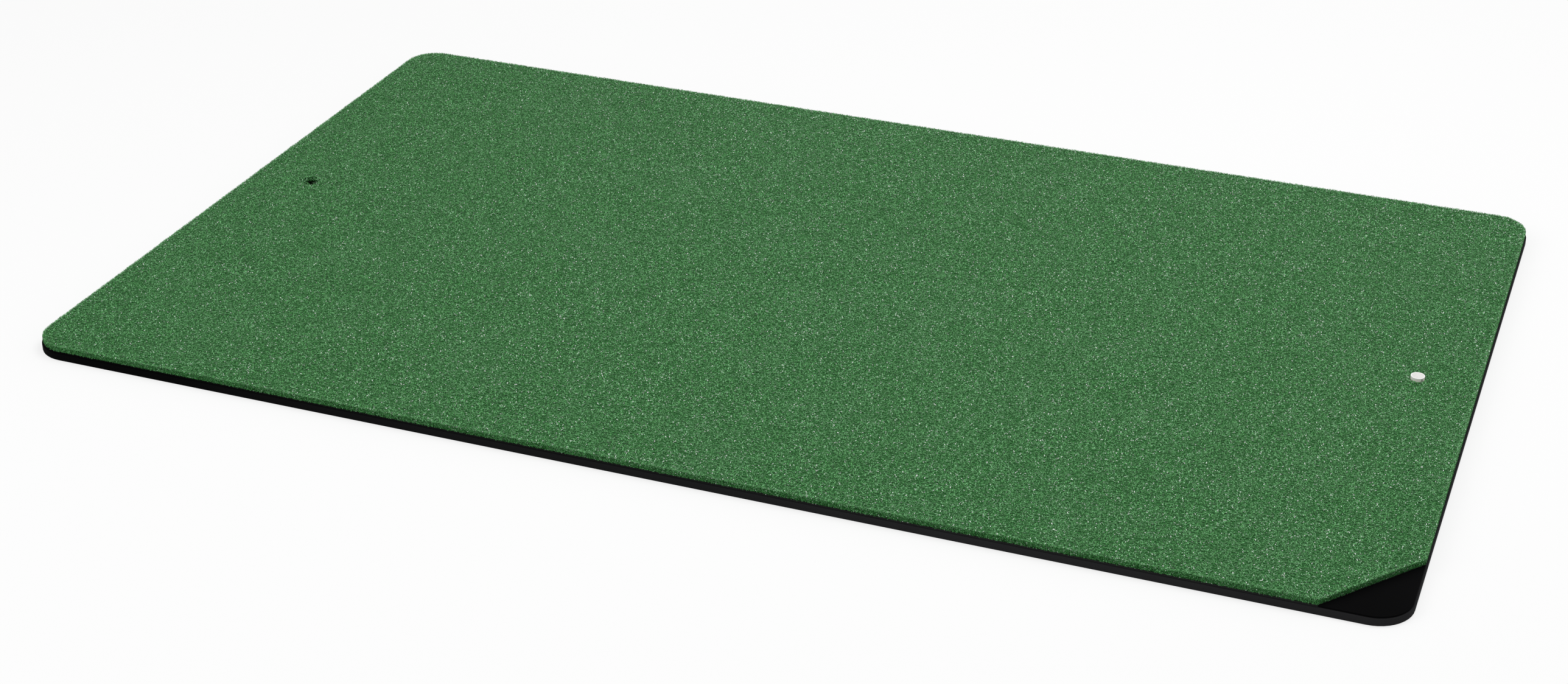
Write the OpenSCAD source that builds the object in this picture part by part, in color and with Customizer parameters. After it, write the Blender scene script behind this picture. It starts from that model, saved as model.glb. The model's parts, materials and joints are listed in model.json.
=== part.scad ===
// Golf hitting mat: a tufted turf sheet on a foam pad, with a corner badge and a pull-out rubber tee.
// Millimetres. The origin is the middle of the underside, +X runs to the right along the long front
// side, +Y runs away from the front side, +Z points up.

/* [Mat] */
// Length of the mat along its front side
mat_length = 1524; // [1000:1:2000]
// Width of the mat from front to back
mat_width = 914; // [600:1:1400]
// Radius of the four outer corners
corner_r = 40; // [20:1:80]

/* [Layers] */
// Thickness of the foam pad
foam_t = 8; // [7:0.5:16]
// Thickness of the secondary backing cloth
secondary_t = 0.5; // [0.4:0.1:1]
// Thickness of the latex coat that locks the tufts
latex_t = 0.8; // [0.5:0.1:1.5]
// Thickness of the primary backing cloth
primary_t = 0.7; // [0.5:0.1:1.5]
// Height of the turf pile above its backing
pile_h = 7; // [5:0.5:20]
// Width of the foam that shows all round the turf and the badge
edge_step = 1.5; // [0:0.5:6]

/* [Tee holes] */
// Distance from the left side to the spare tee hole
spare_from_side = 78; // [60:1:200]
// Distance from the front side to the spare tee hole
spare_from_front = 478; // [160:1:500]
// Distance from the right side to the hole that holds the tee
tee_from_side = 67; // [60:1:200]
// Distance from the front side to the hole that holds the tee
tee_from_front = 464; // [160:1:500]
// Gap between the tee's tube and its hole
hole_gap = 0.3; // [0.2:0.05:0.5]
// Gap between the tee's flange and its recess, at the side and above
recess_gap = 0.3; // [0.2:0.05:0.5]

/* [Rubber tee] */
// Radius of the tee's tube
tube_r = 7.7; // [7:0.1:11]
// Thickness of the tube's wall
tube_wall = 2.4; // [1.5:0.1:3.5]
// Height of the tee above the tips of the pile
tee_rise = 3; // [2:0.5:30]
// Radius of the flange that holds the tee under the mat
flange_r = 25; // [20:0.5:30]
// Thickness of the flange
flange_t = 4; // [3:0.5:5]
// Chamfer on the flange's edge
flange_chamfer = 0.6; // [0.2:0.1:1]
// Width of the flat rim that the ball sits on
rim_w = 1.2; // [0.8:0.1:2]
// Depth of the dish inside the rim
dish_depth = 1.5; // [1.4:0.1:2]
// Thickness of the rubber under the dish
dish_floor = 1.2; // [0.8:0.1:2]
// Number of grooves around the tube below the rim
groove_count = 2; // [1:1:3]
// Distance from one groove to the next, and from the top to the first
groove_pitch = 1.6; // [1.3:0.1:2]
// Height of a groove
groove_h = 0.5; // [0.3:0.1:0.8]
// Depth of a groove
groove_d = 0.4; // [0.2:0.1:0.6]
// Width of the relief slot in the tube's wall
slot_w = 1.8; // [1:0.1:3]
// Height of the foot of the slot above the flange
slot_foot = 5; // [2:0.5:8]
// Rubber left above the slot, up to the tee's top
slot_head = 1.2; // [1:0.1:3]
// Direction that the slot faces, from +X towards +Y
slot_angle = -42; // [-180:1:180]

/* [Corner badge] */
// Distance along the front side from the corner to the badge's cut line
badge_front = 88; // [70:1:140]
// Distance along the right side from the corner to the badge's cut line
badge_side = 110; // [70:1:140]
// Thickness of the tape that holds the badge to the foam
tape_t = 0.5; // [0.2:0.1:0.8]
// Distance from the badge's edge to the tape's edge
tape_margin = 3; // [1:0.5:6]
// Gap between the badge and the cut edge of the turf
cut_gap = 0.3; // [0.2:0.05:0.5]

/* [Hidden] */
$fn = 96;

half_l = mat_length / 2;
half_w = mat_width / 2;

// Heights of the underside of each layer, from the floor up
secondary_z = foam_t;
latex_z = secondary_z + secondary_t;
primary_z = latex_z + latex_t;
pile_z = primary_z + primary_t;
pile_top = pile_z + pile_h;

// The badge and its tape fill the depth of the three backing layers
badge_z = foam_t + tape_t;
badge_t = pile_z - badge_z;
cut_angle = atan2(badge_side, badge_front);
cut_reach = badge_front + badge_side;

// Both holes take the same tee
hole_r = tube_r + hole_gap;
recess_r = flange_r + recess_gap;
recess_depth = flange_t + recess_gap;
spare_at = [-half_l + spare_from_side, -half_w + spare_from_front];
tee_at = [half_l - tee_from_side, -half_w + tee_from_front];

tee_top = pile_top + tee_rise;
core_r = tube_r - tube_wall;
core_top = tee_top - dish_depth - dish_floor;
dish_r = tube_r - rim_w;
dish_sphere_r = (pow(dish_r, 2) + pow(dish_depth, 2)) / (2 * dish_depth);

// How far a cutter runs past the face that it cuts
over = 1;

// Outline of the whole mat, drawn in by inset on every side
module mat_outline(inset = 0) {
    arc_x = half_l - corner_r;
    arc_y = half_w - corner_r;
    square([2 * arc_x, 2 * (half_w - inset)], center = true);
    square([2 * (half_l - inset), 2 * arc_y], center = true);
    for (sx = [-1, 1], sy = [-1, 1])
        translate([sx * arc_x, sy * arc_y])
            circle(r = corner_r - inset);
}

// Everything on the corner's side of the cut line, moved towards the corner by gap
module beyond_cut(gap = 0) {
    translate([half_l - badge_front, -half_w])
        rotate(cut_angle)
            translate([-cut_reach, -2 * cut_reach - gap])
                square([3 * cut_reach, 2 * cut_reach]);
}

// The two tee holes as circles
module tee_hole_circles(r) {
    for (at = [spare_at, tee_at])
        translate(at)
            circle(r = r);
}

// One layer of the turf sheet: the outline without the badge's corner and the tee holes
module turf_layer(z, thickness) {
    translate([0, 0, z])
        linear_extrude(thickness)
            difference() {
                mat_outline(edge_step);
                beyond_cut();
                tee_hole_circles(hole_r);
            }
}

// A flat piece that fills the badge's corner, drawn in by margin from the badge's own edge
module corner_piece(z, thickness, margin = 0) {
    translate([0, 0, z])
        linear_extrude(thickness)
            intersection() {
                mat_outline(edge_step + margin);
                beyond_cut(cut_gap + margin);
            }
}

// Closed-cell foam sheet with the tee holes and the flange recesses underneath
module foam_pad() {
    color("#1f1f21")
        difference() {
            linear_extrude(foam_t)
                difference() {
                    mat_outline();
                    tee_hole_circles(hole_r);
                }
            translate([0, 0, -over])
                linear_extrude(recess_depth + over)
                    tee_hole_circles(recess_r);
        }
}

// Woven cloth between the foam and the latex
module secondary_backing() {
    color("#3a3b3d")
        turf_layer(secondary_z, secondary_t);
}

// Latex that locks the roots of the tufts
module latex_coat() {
    color("#26282a")
        turf_layer(latex_z, latex_t);
}

// Woven cloth that the pile is tufted into
module primary_backing() {
    color("#1b1d1c")
        turf_layer(primary_z, primary_t);
}

// Curly nylon pile, as one block of its full height
module turf_pile() {
    color("#3c7846")
        turf_layer(pile_z, pile_h);
}

// Double-sided tape under the badge
module badge_tape() {
    color("#d8d4c8")
        corner_piece(foam_t, tape_t, tape_margin);
}

// Smooth rubber plate in the right front corner, level with the top of the backing
module corner_badge() {
    color("#0b0b0c")
        corner_piece(badge_z, badge_t);
}

// Half section of the tee, hollow from below and closed at the top
module tee_section() {
    polygon([
        [core_r, 0],
        [flange_r - flange_chamfer, 0],
        [flange_r, flange_chamfer],
        [flange_r, flange_t - flange_chamfer],
        [flange_r - flange_chamfer, flange_t],
        [tube_r, flange_t],
        [tube_r, tee_top],
        [0, tee_top],
        [0, core_top],
        [core_r, core_top]
    ]);
}

// Ring that cuts one groove into the tube
module groove_cutter() {
    rotate_extrude()
        translate([tube_r - groove_d, 0])
            square([groove_d + over, groove_h]);
}

// One-piece rubber tee: flange, tube, grooved rim and a shallow dish for the ball
module rubber_tee() {
    slot_bottom = flange_t + slot_foot;
    slot_top = tee_top - slot_head;
    // The slot's cutter reaches into the core, so that it opens the whole wall
    slot_lap = 0.5;
    color("#efece6")
        translate(tee_at)
            difference() {
                rotate_extrude()
                    tee_section();
                translate([0, 0, tee_top - dish_depth + dish_sphere_r])
                    sphere(r = dish_sphere_r);
                for (i = [1 : groove_count])
                    translate([0, 0, tee_top - i * groove_pitch])
                        groove_cutter();
                rotate(slot_angle)
                    translate([core_r - slot_lap, -slot_w / 2, slot_bottom])
                        cube([tube_wall + slot_lap + over, slot_w, slot_top - slot_bottom]);
            }
}

foam_pad();
secondary_backing();
latex_coat();
primary_backing();
turf_pile();
badge_tape();
corner_badge();
rubber_tee();
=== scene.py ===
"""Looks of a golf hitting mat: curly turf strands, layered edge, corner badge and rubber tee."""
import json
import math

import bmesh
import bpy
from mathutils import Matrix, Vector
from mathutils.geometry import tessellate_polygon


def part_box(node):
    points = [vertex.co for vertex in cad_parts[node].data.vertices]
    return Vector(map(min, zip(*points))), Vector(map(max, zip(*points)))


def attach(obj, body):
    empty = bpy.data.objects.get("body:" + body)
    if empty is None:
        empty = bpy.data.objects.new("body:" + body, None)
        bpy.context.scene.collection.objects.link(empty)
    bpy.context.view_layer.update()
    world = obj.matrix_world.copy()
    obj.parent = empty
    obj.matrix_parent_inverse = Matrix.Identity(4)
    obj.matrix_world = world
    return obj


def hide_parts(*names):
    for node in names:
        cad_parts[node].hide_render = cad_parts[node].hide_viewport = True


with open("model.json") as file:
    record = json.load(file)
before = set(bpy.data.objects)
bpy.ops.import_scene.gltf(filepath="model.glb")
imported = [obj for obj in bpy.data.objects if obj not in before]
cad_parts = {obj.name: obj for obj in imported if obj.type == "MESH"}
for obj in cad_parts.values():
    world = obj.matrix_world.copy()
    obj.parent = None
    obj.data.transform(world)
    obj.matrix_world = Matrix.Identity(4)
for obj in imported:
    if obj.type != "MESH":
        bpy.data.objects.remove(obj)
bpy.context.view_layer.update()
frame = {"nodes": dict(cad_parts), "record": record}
MM = 0.001

# ---------------------------------------------------------------- places, all from the frame

FOAM_LOW, FOAM_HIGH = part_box("foam_pad")
PILE_LOW, PILE_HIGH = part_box("turf_pile")
TEE_LOW, TEE_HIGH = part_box("rubber_tee")
MOUNTS = {mount["name"]: mount for mount in frame["record"]["mounts"]}
ROOT_Z = PILE_LOW.z
PILE_HEIGHT = PILE_HIGH.z - PILE_LOW.z
TEE_CENTRE = (TEE_LOW + TEE_HIGH) / 2
SPARE_CENTRE = Vector(MOUNTS["spare_tee_hole"]["pos_m"])
HOLE_R = MOUNTS["spare_tee_hole"]["dims"]["r_mm"] * MM
TUBE_R = HOLE_R - 0.3 * MM       # the tube clears its hole by this much all round
RIM_W = 1.2 * MM                 # flat rim of the tee, round its dish
TURF_CUT = (PILE_HIGH.x - PILE_LOW.x, PILE_HIGH.y - PILE_LOW.y)

# ---------------------------------------------------------------- sizes of what is added here

STRIPS = 12                      # pieces that the turf is split into, front to back
BED_SHARE = 0.82                 # share of the pile's height filled by dense roots
BED_INSET = 1.4 * MM             # how far the bed of roots stays back from every cut edge
RIM_WIDTH = 2.2 * MM             # band of strands along every cut edge
FRAY_WIDTH = 6.6 * MM            # loose strands round the spare tee hole
ROW_PITCH = 4.2 * MM             # distance between rows of tufts
STRIP_CELLS = 20                 # squares along a strip that strands are scattered on
BAND_STEP = 12 * MM              # longest face of a band that strands are scattered on
GUIDE_STEP = 60 * MM             # size of the squares that distances are measured to
STRAY = 0.05 * MM                # a root further than this from the turf is dropped

# How the strands stand: foot and rise are shares of the pile's height, the rest is in metres
CROWN = {"Density": 560000.0, "Row Pitch": ROW_PITCH, "Foot Min": 0.74, "Foot Max": 0.82,
         "Rise Min": 0.10, "Rise Max": 0.24, "Width Min": 0.5 * MM, "Width Max": 0.95 * MM,
         "Reach Min": 1.1 * MM, "Reach Max": 2.7 * MM, "Curl": 2.2, "Overhang": 0.12}
RIM = {"Density": 15000000.0, "Row Pitch": 0.4 * MM, "Foot Min": -0.17, "Foot Max": 0.74,
       "Rise Min": 0.14, "Rise Max": 0.28, "Width Min": 0.5 * MM, "Width Max": 0.95 * MM,
       "Reach Min": 1.0 * MM, "Reach Max": 2.6 * MM, "Curl": 2.2, "Overhang": 0.12}
FRAY = {"Density": 750000.0, "Row Pitch": 0.4 * MM, "Foot Min": 0.0, "Foot Max": 0.62,
        "Rise Min": 0.2, "Rise Max": 0.6, "Width Min": 0.5 * MM, "Width Max": 0.9 * MM,
        "Reach Min": 1.6 * MM, "Reach Max": 4.6 * MM, "Curl": 2.0, "Overhang": 0.45}

# A blade's corners: side from -0.5 to 0.5, and along from 0 at the root to 1 at the tip
BLADE = ((0.0, 0.0), (0.5, 0.5), (-0.5, 0.5), (0.0, 1.0))
BLADE_CORNERS = len(BLADE)

# ---------------------------------------------------------------- small helpers


def link(obj):
    bpy.context.scene.collection.objects.link(obj)
    return obj


def mesh_object(name, bm):
    mesh = bpy.data.meshes.new(name)
    bm.to_mesh(mesh)
    bm.free()
    return link(bpy.data.objects.new(name, mesh))


def set_material(obj, material):
    obj.data.materials.clear()
    obj.data.materials.append(material)


def smooth(obj, angle=35):
    obj.data.shade_smooth()
    if hasattr(obj.data, "set_sharp_from_angle"):
        obj.data.set_sharp_from_angle(angle=math.radians(angle))


# ---------------------------------------------------------------- node helpers


class Tree:
    """Adds nodes and links to one node tree with short calls."""

    def __init__(self, tree):
        self.tree = tree

    def node(self, kind, inputs=None, **settings):
        made = self.tree.nodes.new(kind)
        for name, value in settings.items():
            setattr(made, name, value)
        for key, value in (inputs or {}).items():
            self.feed(made.inputs[key], value)
        return made

    def feed(self, socket, value):
        if isinstance(value, bpy.types.NodeSocket):
            self.tree.links.new(value, socket)
        elif value is not None:
            socket.default_value = value

    def math(self, operation, *values):
        made = self.tree.nodes.new(self.math_kind)
        made.operation = operation
        for socket, value in zip(made.inputs, values):
            self.feed(socket, value)
        return made.outputs[0]

    def vector(self, operation, *values):
        made = self.tree.nodes.new("ShaderNodeVectorMath")
        made.operation = operation
        for socket, value in zip(made.inputs, values):
            self.feed(socket, value)
        return made.outputs["Value" if operation in ("LENGTH", "DOT_PRODUCT") else "Vector"]

    math_kind = "ShaderNodeMath"

    def combine(self, x, y, z):
        return self.node("ShaderNodeCombineXYZ", {"X": x, "Y": y, "Z": z}).outputs[0]

    def separate(self, vector):
        return self.node("ShaderNodeSeparateXYZ", {"Vector": vector}).outputs

    def mix(self, factor, a, b):
        """Number a at factor 0 and b at factor 1."""
        return self.math("ADD", a, self.math("MULTIPLY", factor, self.math("SUBTRACT", b, a)))


# ---------------------------------------------------------------- the turf's strand tree


def strand_tree():
    """Geometry Nodes that stand curly ribbons on a flat face, in rows, kept off the tee."""
    tree = bpy.data.node_groups.new("turf_strands", "GeometryNodeTree")
    face = tree.interface
    face.new_socket("Geometry", in_out="INPUT", socket_type="NodeSocketGeometry")
    face.new_socket("Footprint", in_out="INPUT", socket_type="NodeSocketObject")
    face.new_socket("Blade", in_out="INPUT", socket_type="NodeSocketObject")
    for name in ("Density", "Row Pitch", "Foot Min", "Foot Max", "Rise Min", "Rise Max", "Width Min",
                 "Width Max", "Reach Min", "Reach Max", "Curl", "Overhang", "Pile Height", "Tee Radius"):
        face.new_socket(name, in_out="INPUT", socket_type="NodeSocketFloat")
    face.new_socket("Tee Centre", in_out="INPUT", socket_type="NodeSocketVector")
    face.new_socket("Seed", in_out="INPUT", socket_type="NodeSocketInt")
    face.new_socket("Material", in_out="INPUT", socket_type="NodeSocketMaterial")
    face.new_socket("Geometry", in_out="OUTPUT", socket_type="NodeSocketGeometry")

    t = Tree(tree)
    given = t.node("NodeGroupInput").outputs
    footprint = t.node("GeometryNodeObjectInfo", {"Object": given["Footprint"]}).outputs["Geometry"]
    position = t.node("GeometryNodeInputPosition").outputs[0]

    def random(seed, low, high, strand=None):
        made = t.node("FunctionNodeRandomValue", data_type="FLOAT")
        floats = [s for s in made.inputs if s.type == "VALUE"]
        t.feed(floats[0], low)
        t.feed(floats[1], high)
        if strand is not None:
            t.feed(made.inputs["ID"], strand)
        t.feed(made.inputs["Seed"], t.math("ADD", given["Seed"], float(seed)))
        return next(o for o in made.outputs if o.type == "VALUE" and o.enabled)

    def nearest(sample):
        return t.node("GeometryNodeProximity",
                      {"Geometry": footprint, "Sample Position": sample}, target_element="FACES").outputs

    def store(geometry, name, kind, value, domain="POINT"):
        made = t.node("GeometryNodeStoreNamedAttribute", {"Geometry": geometry, "Name": name},
                      data_type=kind, domain=domain)
        t.feed(next(s for s in made.inputs if s.name == "Value" and s.enabled), value)
        return made.outputs[0]

    def stored(name, kind):
        made = t.node("GeometryNodeInputNamedAttribute", {"Name": name}, data_type=kind)
        return next(o for o in made.outputs if o.name == "Attribute" and o.enabled)

    # Roots: random points pulled into rows, and dropped where a row leaves the footprint
    points = t.node("GeometryNodeDistributePointsOnFaces",
                    {"Mesh": given["Geometry"], "Density": given["Density"],
                     "Seed": given["Seed"]}).outputs[0]
    at = t.separate(position)
    row = t.math("FLOOR", t.math("DIVIDE", at[1], given["Row Pitch"]))
    in_row = t.math("MULTIPLY", t.math("ADD", row, random(11, 0.16, 0.84)), given["Row Pitch"])
    moved = t.node("GeometryNodeSetPosition",
                   {"Geometry": points, "Position": t.combine(at[0], in_row, at[2])}).outputs[0]
    outside = t.math("GREATER_THAN", nearest(position)["Distance"], STRAY)
    kept = t.node("GeometryNodeDeleteGeometry", {"Geometry": moved, "Selection": outside}).outputs[0]
    kept = store(kept, "root", "FLOAT_VECTOR", position)
    kept = store(kept, "strand", "INT", t.node("GeometryNodeInputIndex").outputs[0])

    # One blade for each root
    blade = t.node("GeometryNodeObjectInfo", {"Object": given["Blade"]}).outputs["Geometry"]
    placed = t.node("GeometryNodeInstanceOnPoints", {"Points": kept, "Instance": blade}).outputs[0]
    real = t.node("GeometryNodeRealizeInstances", {"Geometry": placed}).outputs[0]

    # Where each corner of a blade is: side from -0.5 to 0.5, along from 0 at the root to 1
    strand = stored("strand", "INT")
    root = stored("root", "FLOAT_VECTOR")
    local = t.separate(t.vector("SUBTRACT", position, root))
    real = store(real, "side", "FLOAT", local[0])
    real = store(real, "along", "FLOAT", local[1])
    side, along = stored("side", "FLOAT"), stored("along", "FLOAT")

    turn = random(21, 0.0, math.tau, strand)
    curl = t.math("MULTIPLY", random(22, -1.0, 1.0, strand), given["Curl"])
    reach = random(23, given["Reach Min"], given["Reach Max"], strand)
    foot = random(24, given["Foot Min"], given["Foot Max"], strand)
    climbed = random(27, given["Rise Min"], given["Rise Max"], strand)
    tip = t.math("MINIMUM", t.math("ADD", foot, climbed), 1.05)
    width = random(25, given["Width Min"], given["Width Max"], strand)
    knee = random(26, 0.72, 1.06, strand)

    first = t.math("MINIMUM", t.math("MULTIPLY", along, 2.0), 1.0)
    second = t.math("MAXIMUM", t.math("SUBTRACT", t.math("MULTIPLY", along, 2.0), 1.0), 0.0)
    bend = t.math("ADD", turn, curl)
    out_1 = t.math("MULTIPLY", t.math("MULTIPLY", first, 0.6), reach)
    out_2 = t.math("MULTIPLY", second, reach)
    across = t.math("MULTIPLY", side, width)
    facing = t.math("ADD", turn, t.math("MULTIPLY", along, curl))

    def spread(trig):
        run = t.math("ADD", t.math("MULTIPLY", out_1, t.math(trig, turn)),
                     t.math("MULTIPLY", out_2, t.math(trig, bend)))
        wide = t.math(trig, t.math("ADD", facing, math.pi / 2))
        return t.math("ADD", run, t.math("MULTIPLY", across, wide))

    climb = t.mix(second, t.math("MULTIPLY", first, knee), 1.0)
    share = t.mix(climb, foot, tip)
    rise = t.math("MULTIPLY", share, given["Pile Height"])
    shaped = t.vector("ADD", root, t.combine(spread("COSINE"), spread("SINE"), rise))
    real = t.node("GeometryNodeSetPosition", {"Geometry": real, "Position": shaped}).outputs[0]

    # Cut edges: what leans out past the footprint is drawn back to a share of its lean
    flat = t.vector("MULTIPLY", position, (1.0, 1.0, 0.0))
    level = t.combine(0.0, 0.0, t.separate(root)[2])
    edge = nearest(t.vector("ADD", flat, level))["Position"]
    edge_flat = t.vector("MULTIPLY", edge, (1.0, 1.0, 0.0))
    lean = t.node("ShaderNodeVectorMath", operation="SCALE")
    t.feed(lean.inputs[0], t.vector("SUBTRACT", flat, edge_flat))
    t.feed(lean.inputs["Scale"], given["Overhang"])
    height = t.combine(0.0, 0.0, t.separate(position)[2])
    trimmed = t.vector("ADD", t.vector("ADD", edge_flat, lean.outputs[0]), height)
    real = t.node("GeometryNodeSetPosition", {"Geometry": real, "Position": trimmed}).outputs[0]

    # The tee pushes the strands round it outwards
    centre_flat = t.vector("MULTIPLY", given["Tee Centre"], (1.0, 1.0, 0.0))
    from_tee = t.vector("SUBTRACT", flat, centre_flat)
    push = t.math("MAXIMUM", t.math("SUBTRACT", given["Tee Radius"], t.vector("LENGTH", from_tee)), 0.0)
    away = t.node("ShaderNodeVectorMath", operation="SCALE")
    t.feed(away.inputs[0], t.vector("NORMALIZE", from_tee))
    t.feed(away.inputs["Scale"], push)
    real = t.node("GeometryNodeSetPosition", {"Geometry": real, "Offset": away.outputs[0]}).outputs[0]

    # What the material reads, and one small cell of a UV grid for each strand
    real = store(real, "shade", "FLOAT", random(31, 0.0, 1.0, strand))
    real = store(real, "glint", "FLOAT", random(32, 0.0, 1.0, strand))
    count = t.math("DIVIDE", t.node("GeometryNodeAttributeDomainSize", {"Geometry": real}).outputs[0],
                   float(BLADE_CORNERS))
    cells = t.math("CEIL", t.math("SQRT", count))
    column = t.math("MODULO", strand, cells)
    line = t.math("FLOOR", t.math("DIVIDE", strand, cells))
    cell_u = t.math("ADD", column, t.math("ADD", 0.5, t.math("MULTIPLY", side, 0.7)))
    cell_v = t.math("ADD", line, t.math("ADD", 0.15, t.math("MULTIPLY", along, 0.7)))
    uv = t.combine(t.math("DIVIDE", cell_u, cells), t.math("DIVIDE", cell_v, cells), 0.0)
    real = store(real, "OFBake", "FLOAT2", uv, "CORNER")
    for name in ("root", "strand", "side"):
        real = t.node("GeometryNodeRemoveAttribute", {"Geometry": real, "Name": name}).outputs[0]
    real = t.node("GeometryNodeSetShadeSmooth", {"Geometry": real, "Shade Smooth": True}).outputs[0]
    real = t.node("GeometryNodeSetMaterial", {"Geometry": real, "Material": given["Material"]}).outputs[0]
    t.node("NodeGroupOutput", {"Geometry": real})
    return tree


def add_tree(obj, tree, values):
    """Puts a Geometry Nodes modifier on obj, with its inputs set by the sockets' identifiers."""
    modifier = obj.modifiers.new(tree.name, "NODES")
    modifier.node_group = tree
    for item in tree.interface.items_tree:
        if item.in_out == "INPUT" and item.name in values:
            modifier[item.identifier] = values[item.name]
    return modifier


def evaluated_copy(obj, name):
    """A plain mesh object of what obj's modifiers make."""
    graph = bpy.context.evaluated_depsgraph_get()
    mesh = bpy.data.meshes.new_from_object(obj.evaluated_get(graph), depsgraph=graph)
    mesh.name = name
    return link(bpy.data.objects.new(name, mesh))


# ---------------------------------------------------------------- meshes taken from the frame


def merged_copy(node):
    """A CAD node's mesh as a closed bmesh with its flat faces joined up."""
    bm = bmesh.new()
    bm.from_mesh(frame["nodes"][node].data)
    bmesh.ops.remove_doubles(bm, verts=bm.verts, dist=0.002 * MM)
    return bm


def blade_mesh():
    """A leaf of two triangles that meet at its widest, one unit long up the Y axis and one unit wide."""
    bm = bmesh.new()
    corners = [bm.verts.new((x, y, 0.0)) for x, y in BLADE]
    bm.faces.new([corners[i] for i in (0, 1, 2)])
    bm.faces.new([corners[i] for i in (2, 1, 3)])
    return bm


def outline_loops():
    """The turf's outer edge and its holes, each as points in order with the turf on the left."""
    bm = merged_copy("turf_pile")
    top = PILE_HIGH.z - 0.01 * MM
    gone = [f for f in bm.faces if min(v.co.z for v in f.verts) < top]
    bmesh.ops.delete(bm, geom=gone, context="FACES")
    after = {}
    for edge in bm.edges:
        if len(edge.link_loops) == 1:
            side = edge.link_loops[0]
            after[side.vert] = side.link_loop_next.vert
    loops = []
    while after:
        start, step = after.popitem()
        loop = [start.co.xy.copy()]
        while step is not start:
            loop.append(step.co.xy.copy())
            step = after.pop(step)
        loops.append(loop)
    bm.free()
    return loops


def drawn_in(loop, distance):
    """A loop moved into the turf: distance is a number, or a function of the place in the loop."""
    moved = []
    for i, here in enumerate(loop):
        before, following = loop[i - 1], loop[(i + 1) % len(loop)]
        sides = []
        for a, b in ((before, here), (here, following)):
            along = (b - a).normalized()
            sides.append(Vector((-along.y, along.x)))
        mitre = (sides[0] + sides[1]) / (1.0 + sides[0].dot(sides[1]))
        moved.append(here + mitre * (distance(i / len(loop)) if callable(distance) else distance))
    return moved


def short_steps(loop, longest=BAND_STEP):
    """The same loop with points added, so that no step in it is long."""
    points = []
    for here, following in zip(loop, loop[1:] + loop[:1]):
        parts = max(1, math.ceil((following - here).length / longest))
        points += [here.lerp(following, i / parts) for i in range(parts)]
    return points


def is_spare(loop):
    """Whether a loop is the edge of the spare tee hole."""
    return all((point - SPARE_CENTRE.xy).length < 2 * HOLE_R for point in loop)


def ragged(width):
    """A width that wanders round a torn hole."""
    def at(place):
        turn = math.tau * place
        return width * (0.8 + 0.14 * math.sin(2 * turn + 0.6) + 0.1 * math.sin(5 * turn + 2.0))
    return at


def sheet_mesh(loops, z):
    """A flat sheet at height z that fills the first loop up to the others, its faces pointing up."""
    bm = bmesh.new()
    corners = [bm.verts.new((*point, z)) for loop in loops for point in loop]
    for three in tessellate_polygon([[(*point, 0.0) for point in loop] for loop in loops]):
        a, b, c = (corners[i] for i in three)
        if (b.co - a.co).cross(c.co - a.co).z < 0:
            a, c = c, a
        bm.faces.new((a, b, c))
    return bm


def strip_mesh(z, low, high):
    """Even squares over the turf's whole length, between two distances from front to back."""
    bm = bmesh.new()
    rows = [[bm.verts.new((PILE_LOW.x + TURF_CUT[0] * i / STRIP_CELLS, y, z))
             for i in range(STRIP_CELLS + 1)] for y in (low, high)]
    for i in range(STRIP_CELLS):
        bm.faces.new((rows[0][i], rows[0][i + 1], rows[1][i + 1], rows[1][i]))
    return bm


def guide_mesh(loops, z):
    """A sheet cut into small squares, because distances to long thin faces aren't exact."""
    bm = sheet_mesh(loops, z)
    across_x = ((1, 0, 0), PILE_LOW.x, TURF_CUT[0])
    across_y = ((0, 1, 0), PILE_LOW.y, TURF_CUT[1])
    for normal, low, span in (across_x, across_y):
        for i in range(1, math.ceil(span / GUIDE_STEP)):
            place = [axis * (low + i * GUIDE_STEP) for axis in normal]
            geom = bm.verts[:] + bm.edges[:] + bm.faces[:]
            bmesh.ops.bisect_plane(bm, geom=geom, plane_co=place, plane_no=normal)
    return bm


def cut_between(bm, low, high):
    """Keeps only what lies between two distances from front to back."""
    for y, normal in ((low, (0, -1, 0)), (high, (0, 1, 0))):
        geom = bm.verts[:] + bm.edges[:] + bm.faces[:]
        bmesh.ops.bisect_plane(bm, geom=geom, plane_co=(0, y, 0), plane_no=normal, clear_outer=True)


def band_mesh(loops, width, z):
    """A narrow flat band along the turf's side of each loop, in short lengths."""
    bm = bmesh.new()
    for loop in map(short_steps, loops):
        edge = [bm.verts.new((*point, z)) for point in loop]
        inner = [bm.verts.new((*point, z)) for point in drawn_in(loop, width)]
        for i in range(len(loop)):
            following = (i + 1) % len(loop)
            bm.faces.new((edge[i], edge[following], inner[following], inner[i]))
    return bm


# ---------------------------------------------------------------- materials


def new_material(name):
    material = bpy.data.materials.new(name)
    material.use_nodes = True
    t = Tree(material.node_tree)
    shader = next(n for n in material.node_tree.nodes if n.type == "BSDF_PRINCIPLED")
    return material, t, shader


def ramp(t, factor, stops):
    made = t.node("ShaderNodeValToRGB", {"Fac": factor})
    elements = made.color_ramp.elements
    while len(elements) < len(stops):
        elements.new(0.5)
    for element, (place, colour) in zip(elements, stops):
        element.position = place
        element.color = (*colour, 1.0)
    return made.outputs["Color"]


def blend_colours(t, factor, a, b):
    made = t.node("ShaderNodeMix", data_type="RGBA")
    colours = [s for s in made.inputs if s.type == "RGBA"]
    t.feed(made.inputs[0], factor)
    t.feed(colours[0], (*a, 1.0) if isinstance(a, tuple) else a)
    t.feed(colours[1], (*b, 1.0) if isinstance(b, tuple) else b)
    return next(o for o in made.outputs if o.type == "RGBA")


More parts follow.
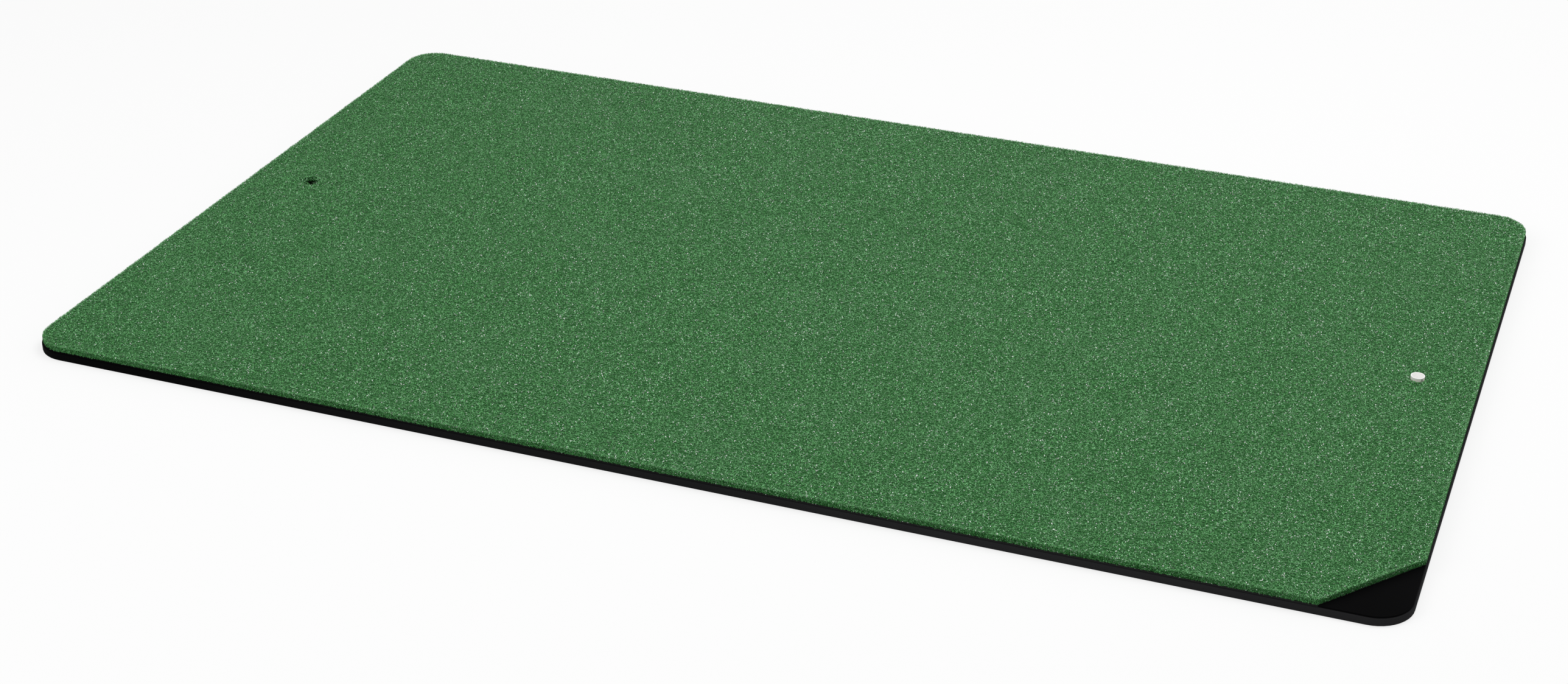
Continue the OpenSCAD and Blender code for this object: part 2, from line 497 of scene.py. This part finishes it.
def multiply_colours(t, a, b):
    made = t.node("ShaderNodeMix", data_type="RGBA", blend_type="MULTIPLY")
    colours = [s for s in made.inputs if s.type == "RGBA"]
    t.feed(made.inputs[0], 1.0)
    t.feed(colours[0], a)
    t.feed(colours[1], b)
    return next(o for o in made.outputs if o.type == "RGBA")


def object_point(t):
    return t.node("ShaderNodeTexCoord").outputs["Object"]


def noise(t, point, scale, detail=2.0, roughness=0.5):
    return t.node("ShaderNodeTexNoise", {"Vector": point, "Scale": scale, "Detail": detail,
                                         "Roughness": roughness}).outputs[0]


def strand_material():
    material, t, shader = new_material("turf_nylon")
    point = object_point(t)
    shade = t.node("ShaderNodeAttribute", attribute_name="shade").outputs["Fac"]
    glint = t.node("ShaderNodeAttribute", attribute_name="glint").outputs["Fac"]
    along = t.node("ShaderNodeAttribute", attribute_name="along").outputs["Fac"]
    strand = ramp(t, shade, [(0.0, (0.012, 0.066, 0.014)), (0.14, (0.026, 0.140, 0.029)),
                             (0.5, (0.052, 0.268, 0.056)), (0.8, (0.094, 0.410, 0.102)),
                             (1.0, (0.260, 0.640, 0.290))])
    patch = noise(t, point, 9.0, 3.0)
    greyer = t.math("MULTIPLY", t.math("SUBTRACT", patch, 0.42), 1.2)
    tinted = blend_colours(t, greyer, strand, (0.110, 0.330, 0.120))
    # Painted shade by height in the pile: darkest at 0.86 of the pile's height, lighter at the strand tips
    height = t.separate(point)[2]
    up = t.math("DIVIDE", t.math("SUBTRACT", height, ROOT_Z), PILE_HEIGHT)
    painted_depth_shade = ramp(t, up, [(0.0, (1.05,) * 3), (0.5, (0.98,) * 3), (0.86, (0.92,) * 3), (1.0, (1.04,) * 3)])
    shaded = multiply_colours(t, tinted, painted_depth_shade)
    # Painted glints: near-white and pale green patches on a few strands, in loose clusters, and fewer
    # towards the left end. They stand in for highlights on the shiny nylon.
    cluster = noise(t, point, 45.0, 2.0)
    rare = t.math("ADD", glint, t.math("MULTIPLY", t.math("SUBTRACT", cluster, 0.5), 0.06))
    fewer_painted_glints = t.math("MAXIMUM", t.math("SUBTRACT", -0.25, t.separate(point)[0]), 0.0)
    rare = t.math("SUBTRACT", rare, t.math("MULTIPLY", fewer_painted_glints, 0.04))
    patch_low = t.math("GREATER_THAN", along, 0.28)
    patch_high = t.math("LESS_THAN", along, 0.80)
    on_strand = t.math("MULTIPLY", patch_low, patch_high)
    pale_painted_glint = blend_colours(t, t.math("MULTIPLY", on_strand, t.math("GREATER_THAN", rare, 0.925)),
                         shaded, (0.300, 0.600, 0.340))
    bright = blend_colours(t, t.math("MULTIPLY", on_strand, t.math("GREATER_THAN", rare, 0.965)),
                           pale_painted_glint, (0.94, 1.00, 0.95))
    t.feed(shader.inputs["Base Color"], bright)
    shader.inputs["Roughness"].default_value = 0.45
    shader.inputs["Specular IOR Level"].default_value = 0.45
    return material


def root_bed_material():
    """Dense roots between the strands, with painted shade: a darker green than the strands, darker still
    between the rows of tufts.
    """
    material, t, shader = new_material("turf_roots")
    point = object_point(t)
    speck = noise(t, point, 900.0, 2.0)
    # Painted shade of the lower pile: a darker green than the strands, in fine specks
    colour = ramp(t, speck, [(0.3, (0.020, 0.085, 0.024)), (0.55, (0.036, 0.160, 0.042)),
                             (0.75, (0.060, 0.240, 0.070))])
    # Painted shade between the rows of tufts: the colour falls to 0.6 of itself on the line between two
    # rows
    turns = t.math("MULTIPLY", t.separate(point)[1], math.tau / ROW_PITCH)
    row = t.math("ADD", 0.8, t.math("MULTIPLY", t.math("COSINE", turns), -0.2))
    t.feed(shader.inputs["Base Color"], multiply_colours(t, colour, t.combine(row, row, row)))
    shader.inputs["Roughness"].default_value = 0.9
    shader.inputs["Specular IOR Level"].default_value = 0.1
    bump = t.node("ShaderNodeBump", {"Height": speck, "Distance": 0.8 * MM, "Strength": 0.8})
    t.feed(shader.inputs["Normal"], bump.outputs[0])
    return material


def shader_group(name, numbers, outputs):
    """An empty shader node group: a Point, named numbers in, and named numbers out."""
    tree = bpy.data.node_groups.new(name, "ShaderNodeTree")
    face = tree.interface
    face.new_socket("Point", in_out="INPUT", socket_type="NodeSocketVector")
    for number in numbers:
        face.new_socket(number, in_out="INPUT", socket_type="NodeSocketFloat")
    for output in outputs:
        face.new_socket(output, in_out="OUTPUT", socket_type="NodeSocketFloat")
    t = Tree(tree)
    return tree, t, t.node("NodeGroupInput").outputs


def skin_group():
    """Moulded or poured skin: a slow cloud for colour, and a fine grain for gloss and bump."""
    tree, t, given = shader_group("moulded_skin", ("Cloud Scale", "Grain Scale"), ("Cloud", "Grain"))
    cloud = noise(t, given["Point"], given["Cloud Scale"], 4.0)
    grain = noise(t, given["Point"], given["Grain Scale"], 2.0)
    t.node("NodeGroupOutput", {"Cloud": cloud, "Grain": grain})
    return tree


def weave_group():
    """Crossing tapes of cloth, from 0 in the gaps to 1 on top of a tape."""
    tree, t, given = shader_group("cloth_weave", ("Pitch",), ("Weave",))
    at = t.separate(given["Point"])
    waves = [t.math("SINE", t.math("DIVIDE", t.math("MULTIPLY", at[axis], math.tau), given["Pitch"]))
             for axis in (0, 1)]
    weave = t.math("ADD", 0.5, t.math("MULTIPLY", t.math("MULTIPLY", waves[0], waves[1]), 0.5))
    t.node("NodeGroupOutput", {"Weave": weave})
    return tree


def painted_light_group():
    """Painted light on the black layers: a lighter grey towards the side where the tee is, in soft patches.
    """
    tree, t, given = shader_group("painted_light_gradient", ("Amount",), ("Dust",))
    at = t.separate(given["Point"])
    span = FOAM_HIGH.x - FOAM_LOW.x
    # Painted light: lighter across the mat towards the tee's side, standing in for how the lamps fall on
    # the black surfaces
    side = t.math("DIVIDE", t.math("SUBTRACT", at[0], FOAM_LOW.x), span)
    light_patches = noise(t, given["Point"], 6.0, 3.0)
    rise = t.math("MULTIPLY", t.math("MAXIMUM", t.math("SUBTRACT", side, 0.12), 0.0), 1.6)
    light_patching = t.math("ADD", 0.7, t.math("MULTIPLY", light_patches, 0.6))
    painted_light = t.math("MULTIPLY", t.math("MINIMUM", rise, 1.0), light_patching)
    t.node("NodeGroupOutput", {"Dust": t.math("MULTIPLY", painted_light, given["Amount"])})
    return tree


class Finish:
    """The shared effects, each built once."""

    def __init__(self):
        self.skin, self.weave, self.painted_light = skin_group(), weave_group(), painted_light_group()

    @staticmethod
    def place(t, group, **values):
        made = t.node("ShaderNodeGroup", node_tree=group)
        t.feed(made.inputs["Point"], object_point(t))
        for name, value in values.items():
            t.feed(made.inputs[name.replace("_", " ").title()], value)
        return made.outputs


def black_material(finish, name, dark, light, painted_light_colour, cloud_scale, grain_scale, specular, roughness,
                   bump_height, weave_pitch=None):
    """Black foam, rubber, latex or cloth, with its grain or weave and painted light: a lighter grey towards
    the tee's side.
    """
    material, t, shader = new_material(name)
    skin = finish.place(t, finish.skin, cloud_scale=cloud_scale, grain_scale=grain_scale)
    mask, height = skin["Cloud"], skin["Grain"]
    if weave_pitch:
        mask = height = finish.place(t, finish.weave, pitch=weave_pitch)["Weave"]
    colour = blend_colours(t, mask, dark, light)
    # Painted light: the black is mixed towards a lighter grey where the mask rises
    painted_light = finish.place(t, finish.painted_light, amount=1.0)["Dust"]
    t.feed(shader.inputs["Base Color"], blend_colours(t, painted_light, colour, painted_light_colour))
    t.feed(shader.inputs["Roughness"], t.mix(skin["Grain"], roughness - 0.08, roughness + 0.08))
    shader.inputs["Specular IOR Level"].default_value = specular
    bump = t.node("ShaderNodeBump", {"Height": height, "Distance": bump_height, "Strength": 0.5})
    t.feed(shader.inputs["Normal"], bump.outputs[0])
    return material


def tape_material(finish):
    material, t, shader = new_material("tape_film")
    skin = finish.place(t, finish.skin, cloud_scale=40.0, grain_scale=1600.0)
    film = blend_colours(t, skin["Cloud"], (0.62, 0.58, 0.50), (0.74, 0.70, 0.62))
    t.feed(shader.inputs["Base Color"], film)
    shader.inputs["Roughness"].default_value = 0.5
    bump = t.node("ShaderNodeBump", {"Height": skin["Grain"], "Distance": 0.05 * MM, "Strength": 0.4})
    t.feed(shader.inputs["Normal"], bump.outputs[0])
    return material


def tee_material(finish):
    """White rubber with painted shade: a little darker in the dish than on the rim, and darker and creamier
    down the wall.
    """
    material, t, shader = new_material("white_rubber")
    point = object_point(t)
    skin = finish.place(t, finish.skin, cloud_scale=160.0, grain_scale=2200.0)
    rubber = blend_colours(t, skin["Cloud"], (0.90, 0.89, 0.87), (0.95, 0.945, 0.93))
    at = t.separate(point)
    flat = t.combine(t.math("SUBTRACT", at[0], TEE_CENTRE.x), t.math("SUBTRACT", at[1], TEE_CENTRE.y), 0.0)
    out = t.vector("LENGTH", flat)
    # Painted shade in the dish, which leaves the rim brighter
    in_dish = t.math("LESS_THAN", out, TUBE_R - RIM_W)
    below = t.math("DIVIDE", t.math("SUBTRACT", TEE_HIGH.z, at[2]), 2.2 * MM)
    painted_dish_shade = blend_colours(t, t.math("MULTIPLY", in_dish, 0.85), rubber, (0.76, 0.75, 0.72))
    # Painted shade down the wall from the top, over 2.2 mm, with a creamy tint
    wall = t.math("MULTIPLY", t.math("MINIMUM", below, 1.0), t.math("GREATER_THAN", out, TUBE_R - 0.1 * MM))
    t.feed(shader.inputs["Base Color"], blend_colours(t, wall, painted_dish_shade, (0.80, 0.77, 0.69)))
    t.feed(shader.inputs["Roughness"], t.mix(skin["Grain"], 0.42, 0.58))
    shader.inputs["Specular IOR Level"].default_value = 0.3
    bump = t.node("ShaderNodeBump", {"Height": skin["Grain"], "Distance": 0.05 * MM, "Strength": 0.4})
    t.feed(shader.inputs["Normal"], bump.outputs[0])
    return material


# ---------------------------------------------------------------- the pieces


def make_strands(name, base, tree, style, guides, material, seed):
    """Stands strands on base as one plain piece, and drops the base."""
    footprint, blade = guides
    add_tree(base, tree, {**style, "Footprint": footprint, "Blade": blade, "Pile Height": PILE_HEIGHT,
                          "Tee Radius": HOLE_R, "Tee Centre": tuple(TEE_CENTRE), "Seed": seed,
                          "Material": material})
    strands = evaluated_copy(base, name)
    bpy.data.objects.remove(base)
    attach(strands, "mat")
    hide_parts("turf_pile")


def make_turf():
    """The pile: a bed of roots, strips of curly strands on it, a rim at each edge and a frayed hole."""
    loops = outline_loops()
    loops.sort(key=lambda loop: max(p.x for p in loop) - min(p.x for p in loop), reverse=True)
    spare = [loop for loop in loops if is_spare(loop)]
    others = [loop for loop in loops if not is_spare(loop)]
    torn = others + [drawn_in(loop, ragged(FRAY_WIDTH - 1.5 * MM)) for loop in spare]
    blade = mesh_object("turf_blade", blade_mesh())
    whole = mesh_object("turf_footprint", guide_mesh(loops, ROOT_Z))
    holed = mesh_object("turf_torn_footprint", guide_mesh(torn, ROOT_Z))
    tree = strand_tree()
    nylon = strand_material()
    edges = [PILE_LOW.y + (PILE_HIGH.y - PILE_LOW.y) * i / STRIPS for i in range(STRIPS + 1)]
    for i, (low, high) in enumerate(zip(edges, edges[1:])):
        base = mesh_object("strip_base", strip_mesh(ROOT_Z, low, high))
        make_strands(f"turf_strands_{i + 1:02d}", base, tree, CROWN, (holed, blade), nylon, 100 + i)
    halves = (("turf_rim_front", edges[0], 0.0), ("turf_rim_back", 0.0, edges[-1]))
    for i, (name, low, high) in enumerate(halves):
        band = band_mesh(others, RIM_WIDTH, ROOT_Z)
        cut_between(band, low, high)
        make_strands(name, mesh_object("rim_base", band), tree, RIM, (whole, blade), nylon, 90 + i)
    frayed = mesh_object("fray_base", band_mesh(spare, FRAY_WIDTH, ROOT_Z))
    make_strands("turf_fray", frayed, tree, FRAY, (whole, blade), nylon, 80)
    make_root_bed([drawn_in(loop, BED_INSET) for loop in others]
                  + [drawn_in(loop, ragged(FRAY_WIDTH)) for loop in spare])
    for guide in (whole, holed, blade):
        bpy.data.objects.remove(guide)


def make_root_bed(loops):
    """The solid bed of roots that the strands stand on, in the shape of the loops."""
    bm = sheet_mesh(loops, ROOT_Z)
    top = bmesh.ops.extrude_face_region(bm, geom=bm.faces[:])
    for v in top["geom"]:
        if isinstance(v, bmesh.types.BMVert):
            v.co.z = ROOT_Z + BED_SHARE * PILE_HEIGHT
    bmesh.ops.recalc_face_normals(bm, faces=bm.faces)
    bed = mesh_object("turf_root_bed", bm)
    set_material(bed, root_bed_material())
    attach(bed, "mat")


def soft_copy(node, name, body, material, edge, segments=3):
    """A CAD node's shape as its own piece, with its sharp edges rounded to radius edge."""
    bm = merged_copy(node)
    bmesh.ops.dissolve_limit(bm, angle_limit=math.radians(0.5), verts=bm.verts[:], edges=bm.edges[:])
    sharp = [e for e in bm.edges if len(e.link_faces) == 2 and e.calc_face_angle() > math.radians(40)]
    bmesh.ops.bevel(bm, geom=sharp, offset=edge, segments=segments, profile=0.5, affect="EDGES",
                    clamp_overlap=True)
    piece = mesh_object(name, bm)
    smooth(piece)
    set_material(piece, material)
    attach(piece, body)
    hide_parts(node)
    return piece


def make_layers(finish):
    """Foam, backing cloths, latex and the badge, from the floor up."""
    # The third colour of each layer is its painted light, a lighter grey mixed in towards the tee's side
    foam = black_material(finish, "black_foam", (0.0012, 0.0012, 0.0013), (0.0030, 0.0030, 0.0032),
                          (0.020, 0.020, 0.021), 14.0, 900.0, 0.012, 0.7, 0.25 * MM)
    scrim = black_material(finish, "scrim_cloth", (0.0012, 0.0012, 0.0013), (0.0045, 0.0045, 0.005),
                           (0.020, 0.020, 0.021), 14.0, 900.0, 0.012, 0.8, 0.12 * MM, 1.6 * MM)
    latex = black_material(finish, "dried_latex", (0.0012, 0.0012, 0.0013), (0.0030, 0.0030, 0.0032),
                           (0.020, 0.020, 0.021), 30.0, 1200.0, 0.02, 0.6, 0.1 * MM)
    cloth = black_material(finish, "tuft_cloth", (0.0010, 0.0012, 0.0010), (0.0040, 0.0045, 0.0040),
                           (0.018, 0.019, 0.018), 14.0, 900.0, 0.012, 0.8, 0.1 * MM, 1.1 * MM)
    badge = black_material(finish, "badge_rubber", (0.0004, 0.0004, 0.0005), (0.0009, 0.0009, 0.0010),
                           (0.0030, 0.0030, 0.0032), 9.0, 1400.0, 0.005, 0.5, 0.02 * MM)
    pad = soft_copy("foam_pad", "foam_sheet", "mat", foam, 0.5 * MM)
    under = soft_copy("secondary_backing", "scrim_sheet", "mat", scrim, 0.1 * MM, 1)
    soft_copy("latex_coat", "latex_sheet", "mat", latex, 0.15 * MM, 2)
    tufted = soft_copy("primary_backing", "tuft_cloth_sheet", "mat", cloth, 0.1 * MM, 1)
    soft_copy("badge_tape", "tape_sheet", "mat", tape_material(finish), 0.05 * MM, 1)
    soft_copy("corner_badge", "badge_plate", "mat", badge, 0.35 * MM)


def make_tee(finish):
    soft_copy("rubber_tee", "white_tee", "tee", tee_material(finish), 0.16 * MM)


# ---------------------------------------------------------------- stage, light and camera

CAMERA_AT = Vector((0.9399, -2.5122, 1.3905))
CAMERA_AIM = Vector((-0.29282, 0.82812, -0.47798))   # the way it looks, of length one
CAMERA_ROLL = math.radians(0.653)
LENS = 59.387
SHIFT_X = -0.0474
PLAIN_WHITE = 0.72               # share of the floor's white that takes no shadow


def make_camera():
    camera = link(bpy.data.objects.new("camera", bpy.data.cameras.new("camera")))
    camera.data.lens = LENS
    camera.data.sensor_width = 36.0
    camera.data.shift_x = SHIFT_X
    look = CAMERA_AIM.to_track_quat("-Z", "Y").to_matrix().to_4x4()
    camera.matrix_world = Matrix.Translation(CAMERA_AT) @ look @ Matrix.Rotation(CAMERA_ROLL, 4, "Z")
    bpy.context.scene.camera = camera


def make_floor():
    """A white floor that keeps a faint shadow of the mat: seen directly, most of its white is plain."""
    bm = bmesh.new()
    bmesh.ops.create_grid(bm, x_segments=1, y_segments=1, size=30.0)
    bmesh.ops.translate(bm, verts=bm.verts, vec=(0, 0, FOAM_LOW.z - 0.2 * MM))
    floor = mesh_object("floor", bm)
    material, t, shader = new_material("floor_white")
    shader.inputs["Base Color"].default_value = (0.96, 0.96, 0.96, 1.0)
    shader.inputs["Roughness"].default_value = 0.9
    shader.inputs["Specular IOR Level"].default_value = 0.0
    plain = t.node("ShaderNodeEmission")
    plain.inputs["Strength"].default_value = 1.0
    seen = t.node("ShaderNodeLightPath").outputs["Is Camera Ray"]
    mixed = t.node("ShaderNodeMixShader", {0: t.math("MULTIPLY", seen, PLAIN_WHITE),
                                           1: shader.outputs[0], 2: plain.outputs[0]})
    output = next(n for n in material.node_tree.nodes if n.type == "OUTPUT_MATERIAL")
    t.feed(output.inputs["Surface"], mixed.outputs[0])
    set_material(floor, material)


def area_light(name, place, size, power):
    data = bpy.data.lights.new(name, "AREA")
    data.shape = "RECTANGLE"
    data.size, data.size_y = size
    data.energy = power
    light = link(bpy.data.objects.new(name, data))
    light.location = place
    light.rotation_mode = "QUATERNION"
    light.rotation_quaternion = (-Vector(place)).to_track_quat("-Z", "Y")


def make_world(level):
    world = bpy.data.worlds.new("studio")
    bpy.context.scene.world = world
    world.use_nodes = True
    t = Tree(world.node_tree)
    background = next(n for n in world.node_tree.nodes if n.type == "BACKGROUND")
    path = t.node("ShaderNodeLightPath").outputs
    seen = t.math("MAXIMUM", path["Is Camera Ray"],
                  t.math("MAXIMUM", path["Is Glossy Ray"], path["Is Transmission Ray"]))
    t.feed(background.inputs["Strength"], t.mix(seen, level, 1.0))
    background.inputs["Color"].default_value = (1.0, 1.0, 1.0, 1.0)


def make_lights():
    make_world(0.55)
    area_light("key_light", (0.9, 0.6, 3.2), (2.2, 1.6), 45.0)
    area_light("fill_light", (-2.2, -2.4, 2.2), (2.0, 2.0), 30.0)


finish = Finish()
make_turf()
make_layers(finish)
make_tee(finish)
make_floor()
make_lights()
make_camera()
bpy.context.scene.view_settings.view_transform = "Standard"
